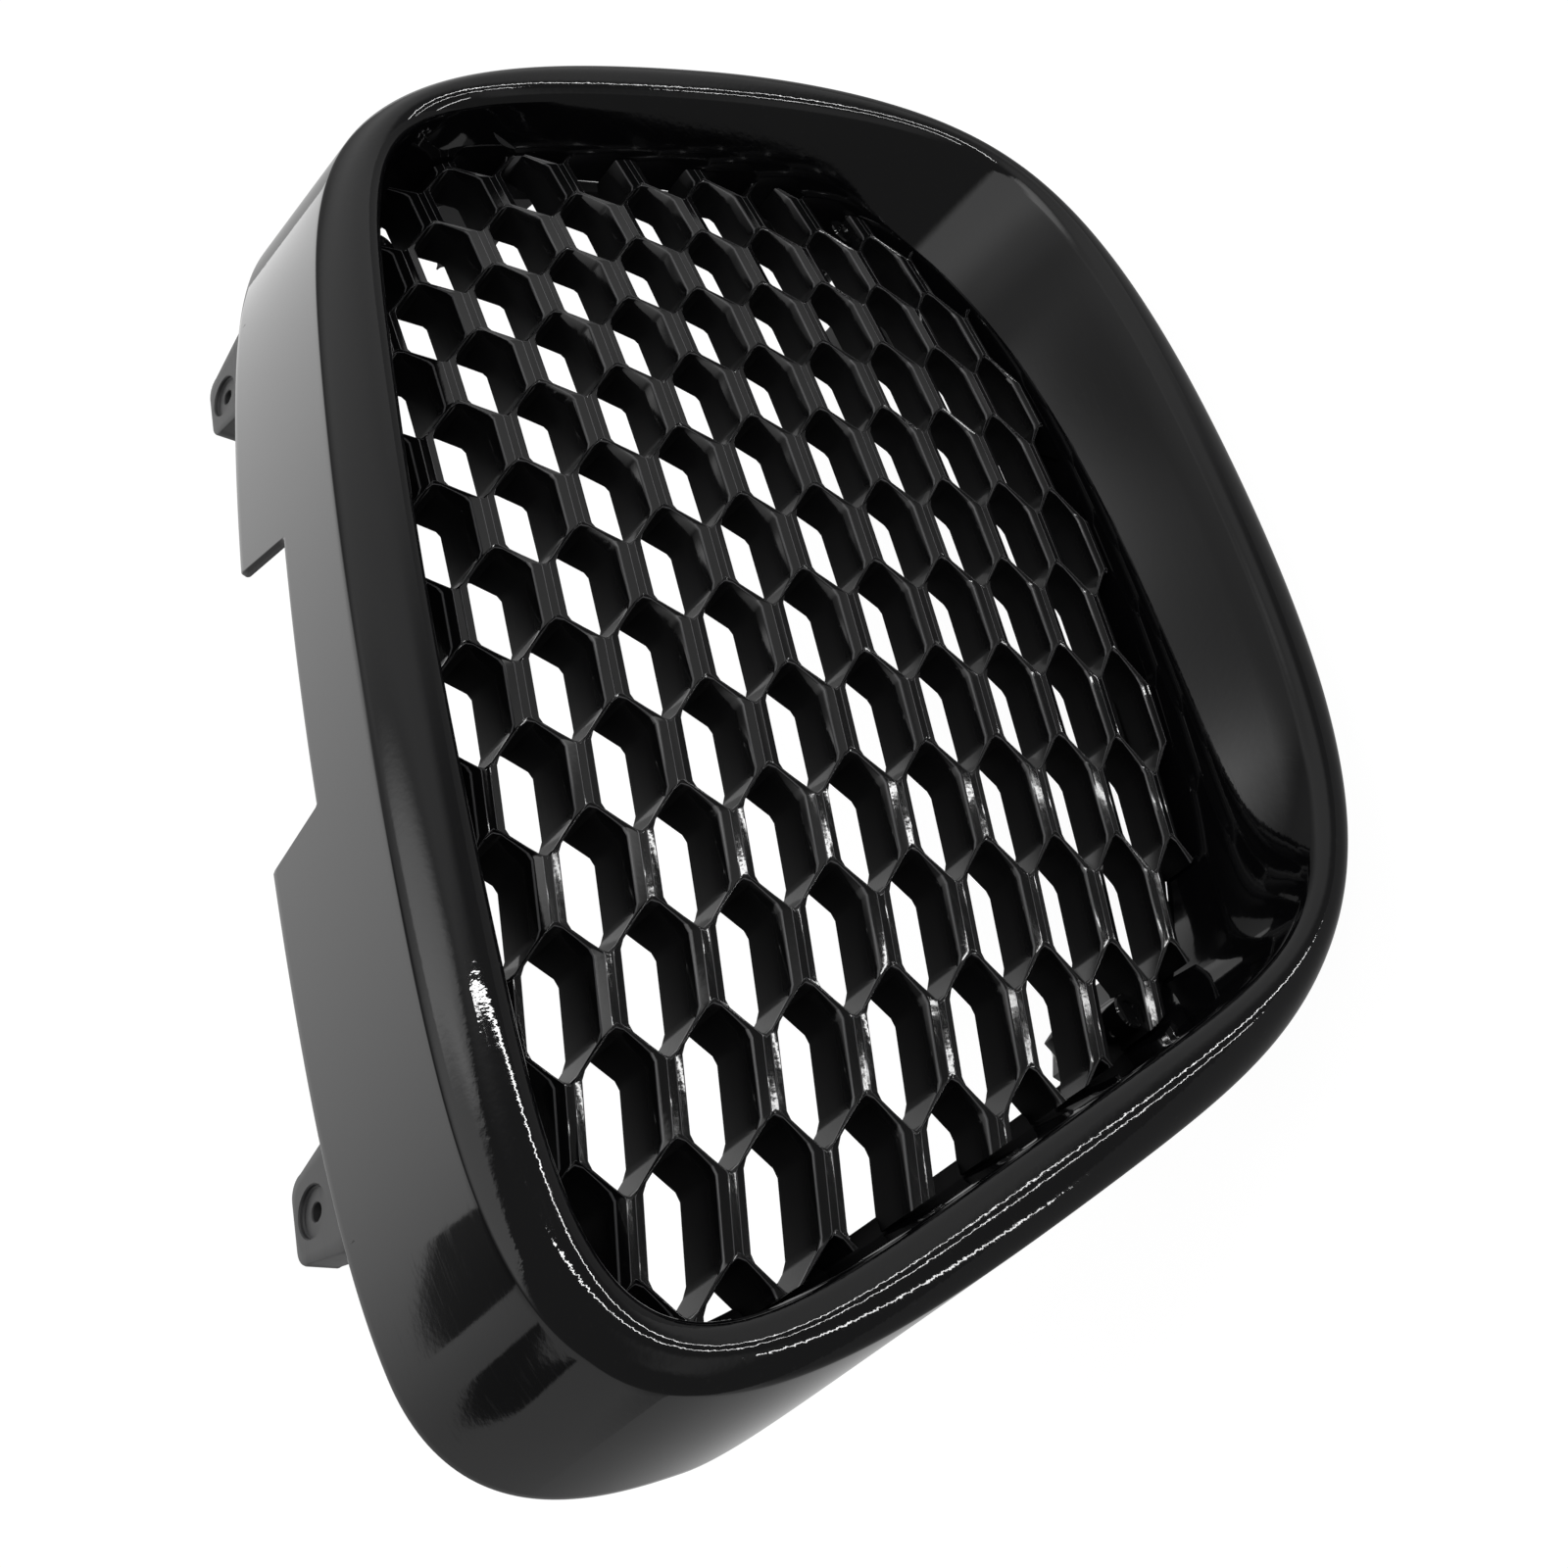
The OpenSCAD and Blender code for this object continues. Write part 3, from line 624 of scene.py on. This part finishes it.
# neighbouring cells are welded along their middle lines, and the cut ends are closed
def addInsert():
    rings = insertRings()
    cells, count, points = rings.shape[:3]
    faces = gridFaces(count, points, closeRows=False)
    every = (faces[None] + (np.arange(cells) * count * points)[:, None, None]).reshape(-1, 4)
    flat = rings.reshape(-1, 4)
    every = every[~(flat[:, 3] > 0.5)[every].all(1)]
    used, index = np.unique(every, return_inverse=True)
    *_, byRing, highlightByRing = zip(*ringPlan)
    coat = np.repeat(np.array(byRing, float), points).reshape(count, points)
    coat[wallRings, sillPoints] = insert["sillCoat"]
    coat = coat.ravel()[used % coat.size]
    # rings marked as edges get the painted highlight colour in the material
    edge = np.array(highlightByRing)[used // points % count]
    piece = addPiece("honeycomb_mesh", flat[used, :3], index.reshape(-1, 4), meshBlack, "honeycomb_insert",
                     "mesh_black", insert["sharp"], lacquer=coat, peel=coat, edge=edge)
    grid = bmesh.new()
    grid.from_mesh(piece.data)
    bmesh.ops.remove_doubles(grid, verts=grid.verts, dist=insert["weld"])
    bmesh.ops.holes_fill(grid, edges=[e for e in grid.edges if e.is_boundary], sides=60)
    grid.to_mesh(piece.data)
    grid.free()
    piece.data.set_sharp_from_angle(angle=math.radians(insert["sharp"]))


addInsert()

# frame round the insert's back
frameAngles = np.arange(-90, 270, 1.0)


def frameRow(grow, y):
    x, z = place("lip", frameAngles, -wallTaper - insertGap + grow)
    bx, bz = place("lip", frameAngles, -wallTaper - insertGap)
    return np.stack([x, bowed("mesh", bx, bz) + meshDepth / 2 + y, z], -1)


far, near, soft = insertGap + insert["lap"], -insert["frameW"], insert["frameSoft"]
deep, fore = frameDepth / 2, -frameDepth / 2 - insert["frameLead"]
rows = np.stack([frameRow(g, y) for g, y in (
    (far, fore + soft), (far, deep - soft), (far - soft, deep), (near + soft, deep), (near, deep - soft),
    (near, fore + soft), (near + soft, fore), (far - soft, fore))])
addPiece("insert_frame", rows, gridFaces(*rows.shape[:2]), meshBlack, "honeycomb_insert", "mesh_black", 30)

# bosses of the insert: turned about the screw's line, with a ring round a shallow dimple in front
bossRing = [(0.0, 0.5), (2.3, 0.5), (2.6, 0.0), (4.1, 0.0), (4.5, 0.4)]
for n, t in enumerate(rear["screws"]):
    at, out, along = onEdge(t)
    middleAt = at - rear["bossIn"] * out
    frontY = bowed("mesh", middleAt[0], middleAt[2]) - meshDepth / 4
    turn = np.radians(np.arange(0, 360, 10.0))
    profile = [(r, frontY + y) for r, y in bossRing] + [(rear["bossD"] / 2, lugY(t)), (0.0, lugY(t))]
    circle = np.stack([np.cos(turn), 0 * turn, np.sin(turn)], -1)
    rings = np.stack([middleAt * [1, 0, 1] + r * circle + [0, y, 0] for r, y in profile])
    painted = np.ones(rings.size // 3)
    addPiece(f"boss_{n}", rings, gridFaces(*rings.shape[:2], closeRows=False), meshBlack, "honeycomb_insert",
             "mesh_black", 30, lacquer=painted, peel=painted)

print("screws")
plate = {"grain": 700.0, "dark": (0.46, 0.47, 0.48), "warm": (0.62, 0.61, 0.57), "rough": (0.25, 0.45),
         "bump": (0.1, 0.001)}
zinc, where = newMaterial("screw_zinc")
grain = where.noise(plate["grain"], 3.0)
useSurface(zinc, where.make(
    "ShaderNodeBsdfPrincipled", Base_Color=grain.blend(plate["dark"], plate["warm"]),
    Roughness=grain.ramp(0.3, 0.7, *plate["rough"]), Metallic=1.0,
    Normal=where.make("ShaderNodeBump", i0=plate["bump"][0], i1=plate["bump"][1], Height=grain)))
bpy.data.objects["insert_screws"].material_slots[0].material = zinc

print("stage")
ground = {"half": 6.0, "tint": (0.14, 0.14, 0.14, 1), "glow": 0.94, "mirrored": (-0.15, 0.15, 0.3, 0.62)}
low, high = (Vector(c) for c in cadBox)
half = ground["half"]
corners = [(-half, -half, low.z), (half, -half, low.z), (half, half, low.z), (-half, half, low.z)]
floorMesh = bpy.data.meshes.new("floor")
floorMesh.from_pydata(corners, [], [(0, 1, 2, 3)])
floor = bpy.data.objects.new("floor", floorMesh)
bpy.context.collection.objects.link(floor)
paper, where = newMaterial("floor_paper")
path = paper.node_tree.nodes.new("ShaderNodeLightPath")
glossy = Value(paper.node_tree, path.outputs["Is Glossy Ray"])
lit = where.make("ShaderNodeAddShader", i0=where.make("ShaderNodeBsdfDiffuse", Color=ground["tint"]),
                 i1=where.make("ShaderNodeEmission", Color=(1, 1, 1, 1), Strength=ground["glow"]))
fromFront = where.make("ShaderNodeSeparateXYZ", output=1, Vector=where).ramp(*ground["mirrored"])
useSurface(paper, where.make("ShaderNodeMixShader", i0=glossy, i1=lit,
                             i2=where.make("ShaderNodeEmission", Color=fromFront)))
floorMesh.materials.append(paper)

print("studio")
world = bpy.data.worlds.new("studio")
bpy.context.scene.world = world
world.use_nodes = True
sky = world.node_tree
sky.nodes.clear()
way = Value(sky, sky.nodes.new("ShaderNodeTexCoord").outputs["Generated"])
wayX, wayY, wayZ = (way.make("ShaderNodeSeparateXYZ", output=n, Vector=way) for n in range(3))
inDegrees = 180 / math.pi
around = way.sums("ARCTAN2", wayX, wayY * -1.0) * inDegrees  # 0 in front, 90 at +X
behind = way.sums("ARCTAN2", wayX * -1.0, wayY) * inDegrees  # 0 behind, 90 at -X
height = way.sums("ARCSINE", wayZ, 0.0) * inDegrees


# soft-edged box by direction: left, right, lower and upper edge and softness in degrees
def softBox(angle, left, right, low, high, soft):
    return (angle.ramp(left - soft, left + soft) * angle.ramp(right + soft, right - soft)
            * height.ramp(low - soft, low + soft) * height.ramp(high + soft, high - soft))


# the boxes with their strength: one overhead, four on the right and one on the left
softBoxes = {
    "overhead": (1.0, behind, -130, 20, 62, 110, 9),
    "right_high": (0.4, around, 30, 108, 30, 58, 10),
    "right_low": (0.35, around, 40, 98, -25, 30, 10),
    "left_high": (0.25, around, -60, -12, 42, 58, 8),
    "far_right": (0.2, around, 104, 128, 46, 60, 4),
    "right_top": (1.1, around, 44, 104, 58, 72, 3.5),
}
fill = 0.19
wideBack = softBox(behind, -62, 48, -10, 47, 3.5) * behind.ramp(-40, 25, 1.5, 0.4)
light = fill + wideBack
for strength, *edges in softBoxes.values():
    light = light + strength * softBox(*edges)

# two dark flags in front of the wide box at the back, the second one slanting
slant = height + 0.54 * behind
flag = softBox(behind, -11, 6, 42.6, 50, 0.3)
flag = flag + softBox(behind, 17, 33, 30, 44, 0.5) * slant.ramp(49.6, 50.2) * slant.ramp(53.4, 52.8)
light = light * (1 - 0.85 * flag)
seen = Value(sky, sky.nodes.new("ShaderNodeLightPath").outputs["Is Camera Ray"])
backdrop = way.make("ShaderNodeMixShader", i0=seen, i1=way.make("ShaderNodeBackground", Color=light),
                    i2=way.make("ShaderNodeBackground", Color=(1, 1, 1, 1)))
sky.links.new(backdrop.socket, sky.nodes.new("ShaderNodeOutputWorld").inputs["Surface"])

lampDistance = 2.4
middle = (low + high) / 2


def heading(azimuth, elevation):
    a, e = math.radians(azimuth), math.radians(elevation)
    return Vector((math.sin(a) * math.cos(e), -math.cos(a) * math.cos(e), math.sin(e)))


# thin bright tubes, seen as lines on the rim and the bars: start and end direction, width in m, radiance
tubes = {
    "tube_right": ((29, 52), (15, -2), 0.045, 30.0),
    "tube_low": ((27, -18), (30, -34), 0.022, 36.0),
    "tube_middle": ((7, 54), (2, -6), 0.04, 30.0),
    "tube_left": ((-30, 40), (-42, -10), 0.08, 24.0),
}


def addTube(name, start, end, wide, radiance):
    a, b = (middle + heading(*v) * lampDistance for v in (start, end))
    lamp = bpy.data.lights.new(name, "AREA")
    lamp.shape = "RECTANGLE"
    lamp.size, lamp.size_y = (b - a).length, wide
    lamp.energy = radiance * lamp.size * lamp.size_y * math.pi
    thing = bpy.data.objects.new(name, lamp)
    thing.location = (a + b) / 2
    along, away = (b - a).normalized(), ((a + b) / 2 - middle).normalized()
    up = away.cross(along).normalized()
    away = along.cross(up)
    thing.rotation_euler = Matrix((along, up, away)).transposed().to_euler()
    bpy.context.collection.objects.link(thing)


for name, values in tubes.items():
    addTube(name, *values)

print("camera")
shot = {"lens": 46.698, "sensor": 36, "at": (-0.322102, -0.372761, 0.219131),
        "turn": (18.3023, 49.5070, -110.3418)}
camera = bpy.data.cameras.new("camera")
camera.lens, camera.sensor_width = shot["lens"], shot["sensor"]
eye = bpy.data.objects.new("camera", camera)
eye.location = shot["at"]
eye.rotation_euler = Euler([math.radians(a) for a in shot["turn"]], "XYZ")
bpy.context.collection.objects.link(eye)
scene = bpy.context.scene
scene.camera = eye
scene.view_settings.view_transform = "Standard"
